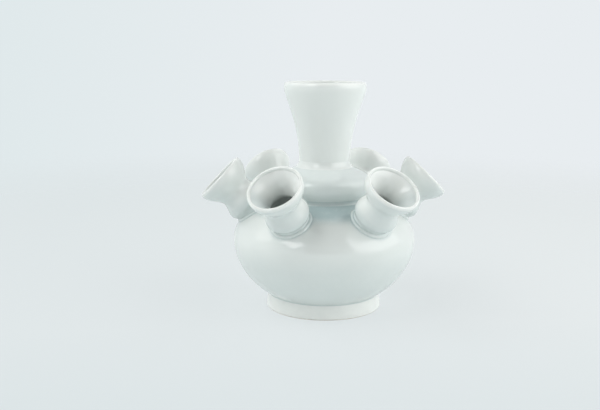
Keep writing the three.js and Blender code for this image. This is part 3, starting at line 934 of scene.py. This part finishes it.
class MakeStage(VaseStep, bpy.types.Operator):
    """Lay the floor and set the camera, the lamps, the windows and the surround"""

    bl_idname = "vase.make_stage"
    bl_label = "Studio"

    def make(self, vase):
        stage, scene = vase.stage, vase.id_data
        self.floor(stage)
        self.world(scene, stage)
        for lamp in LAMPS:
            self.lamp(*lamp)
        for window in WINDOWS:
            self.window(*window)
        self.camera(scene, stage)
        scene.view_settings.view_transform = "Standard"

    def card(self, name, corners, material):
        """A flat piece of the stage."""
        mesh = bpy.data.meshes.new(name)
        mesh.from_pydata(corners, [], [tuple(range(len(corners)))])
        mesh.materials.append(material)
        piece = placed(name, mesh)
        return piece

    def floor(self, stage):
        """A matt paper floor, whose far edge fades into the backdrop."""
        material, tree, place = new_material("paper")
        away = node(tree, "VectorMath", {0: place}, operation="LENGTH").outputs["Value"]
        fade = ranged(tree, away, *FLOOR_FADE, interpolation_type="SMOOTHSTEP")
        rays = node(tree, "LightPath").outputs
        seen = calc(tree, "MAXIMUM", rays["Is Camera Ray"], rays["Is Glossy Ray"])
        fill = calc(tree, "MULTIPLY", seen, stage.floor_fill)
        axes = node(tree, "SeparateXYZ", {0: place}).outputs
        back, right = ranged(tree, axes["Y"], *FLOOR_BACK), ranged(tree, axes["X"], *FLOOR_RIGHT)
        tone = calc(tree, "ADD", back, right, use_clamp=True)
        shade = mixed(tree, tone, linear(stage.floor_dark), linear(stage.floor_light))
        matt = node(tree, "BsdfDiffuse", {"Color": linear(stage.paper)})
        plain = node(tree, "Emission", {"Color": shade, "Strength": 1.0})
        paper = mixed_shader(tree, fill, matt, plain)
        faded = mixed_shader(tree, fade, paper, node(tree, "BsdfTransparent"))
        node(tree, "OutputMaterial", {"Surface": faded.outputs[0]})
        corners = [(x * FLOOR_HALF, y * FLOOR_HALF, 0) for x, y in ((-1, -1), (1, -1), (1, 1), (-1, 1))]
        self.card("floor_paper", corners, material)

    def world(self, scene, stage):
        """An even pale surround with a dark ceiling over the table, which starts above the camera and ends
        behind the vase. It darkens what the glaze mirrors and the light from above, and the camera doesn't
        see it."""
        world = bpy.data.worlds.new("studio")
        world.use_nodes = True
        tree = world.node_tree
        tree.nodes.clear()
        way = node(tree, "SeparateXYZ", {0: node(tree, "TexCoord").outputs["Generated"]}).outputs
        ahead = calc(tree, "MULTIPLY", way["Y"], -1 / CEILING_AHEAD)
        over = calc(tree, "MULTIPLY", way["Z"], 1 / CEILING_UP)
        sideways = calc(tree, "DIVIDE", calc(tree, "ABSOLUTE", way["X"]), calc(tree, "MAXIMUM", ahead, over))
        back = calc(tree, "DIVIDE", way["Y"], way["Z"])
        across, in_front = ranged(tree, sideways, *CEILING_SIDE), ranged(tree, way["Z"], *CEILING_FRONT)
        wide = calc(tree, "MULTIPLY", across, in_front)
        band = calc(tree, "MULTIPLY", wide, ranged(tree, back, *CEILING_BACK))
        rays = node(tree, "LightPath").outputs
        glossy = calc(tree, "MAXIMUM", rays["Is Camera Ray"], rays["Is Glossy Ray"])
        seen = calc(tree, "MAXIMUM", glossy, rays["Is Transmission Ray"])
        hidden = calc(tree, "SUBTRACT", band, rays["Is Camera Ray"], use_clamp=True)
        right = ranged(tree, way["X"], *BACKDROP_RIGHT)
        shade = mixed(tree, right, linear(stage.backdrop_left), linear(stage.backdrop_colour))
        light = node(tree, "Background", {"Color": WHITE, "Strength": SKY})
        backdrop = node(tree, "Background", {"Color": shade, "Strength": 1.0})
        dark = node(tree, "Background", {"Color": linear(stage.ceiling_colour), "Strength": 1.0})
        pale = mixed_shader(tree, seen, light, backdrop)
        node(tree, "OutputWorld", {"Surface": mixed_shader(tree, hidden, pale, dark).outputs[0]})
        scene.world = world

    def lamp(self, name, place, size, side, tilt, radiance):
        """A rectangular softbox, width by height, that faces the vase from one side, tipped down by a tilt.
        Its power is its area times pi times its radiance."""
        data = bpy.data.lights.new(name, "AREA")
        data.shape = "RECTANGLE"
        data.size, data.size_y = size
        data.energy = math.pi * size[0] * size[1] * radiance
        lamp = placed(name, data)
        lamp.matrix_world = (Matrix.Translation(place) @ Matrix.Rotation(math.radians(side), 4, "Z")
                             @ Matrix.Rotation(math.radians(90 - tilt), 4, "X"))
        lamp.visible_camera = False
        lamp.visible_glossy = False

    def window(self, name, side, corners, core, bright, dim):
        """A window that only the glaze sees: a flat card to one side, whose corners and core are given as
        distances back and up. It dims away from its core."""
        material, tree, place = new_material(name)
        away = node(tree, "VectorMath", {0: place, 1: (side, *core)}, operation="DISTANCE").outputs["Value"]
        strength = ranged(tree, away, *WINDOW_FADE, bright, dim, interpolation_type="SMOOTHSTEP")
        pane = node(tree, "Emission", {"Color": WHITE, "Strength": strength})
        node(tree, "OutputMaterial", {"Surface": pane.outputs[0]})
        piece = self.card(name, [(side, back, up) for back, up in corners], material)
        for ray in ("camera", "diffuse", "transmission", "shadow"):
            setattr(piece, f"visible_{ray}", False)

    def camera(self, scene, stage):
        """The photograph's viewpoint: a level distance and a height, then pitch, aim and roll."""
        data = bpy.data.cameras.new("camera")
        data.lens = stage.lens
        data.sensor_width = 36.0
        data.sensor_fit = "HORIZONTAL"
        data.clip_start = 10 * MM
        camera = placed("camera", data)
        across, back = stage.distance * math.sin(stage.bearing), stage.distance * math.cos(stage.bearing)
        place = Vector((across, -back, stage.camera_height))
        turn = (Matrix.Rotation(stage.aim, 4, "Z") @ Matrix.Rotation(math.pi / 2 - stage.pitch, 4, "X")
                @ Matrix.Rotation(stage.roll, 4, "Z"))
        camera.matrix_world = Matrix.Translation(place) @ turn
        scene.camera = camera


OPERATORS = (MakeFoot, MakeBody, MakeKnop, MakeNeck, MakeSpouts, MakeCoves, MakeCoils, MakeStage)


class VasePanel(bpy.types.Panel):
    """Lists the steps that make the vase"""

    bl_idname = "VIEW3D_PT_vase"
    bl_label = "Tulip Vase"
    bl_space_type = "VIEW_3D"
    bl_region_type = "UI"
    bl_category = "Vase"

    def draw(self, context):
        for operator in OPERATORS:
            self.layout.operator(operator.bl_idname)


KINDS = (
    FootSizes, BodySizes, KnopSizes, NeckSizes, SpoutSizes, SlipSizes, GlazeColours, StageSizes, VaseSettings,
    *OPERATORS, VasePanel)


def register():
    """Registers the settings, the operators and the panel."""
    for kind in KINDS:
        bpy.utils.register_class(kind)
    bpy.types.Scene.vase = PointerProperty(type=VaseSettings)


def unregister():
    """Undoes register."""
    del bpy.types.Scene.vase
    for kind in reversed(KINDS):
        bpy.utils.unregister_class(kind)


def main():
    """Makes the vase and its studio."""
    register()
    bpy.ops.vase.make_foot()
    bpy.ops.vase.make_body()
    bpy.ops.vase.make_knop()
    bpy.ops.vase.make_neck()
    bpy.ops.vase.make_spouts()
    bpy.ops.vase.make_coves()
    bpy.ops.vase.make_coils()
    bpy.ops.vase.make_stage()
    bpy.context.view_layer.update()


if __name__ == "__main__":
    main()
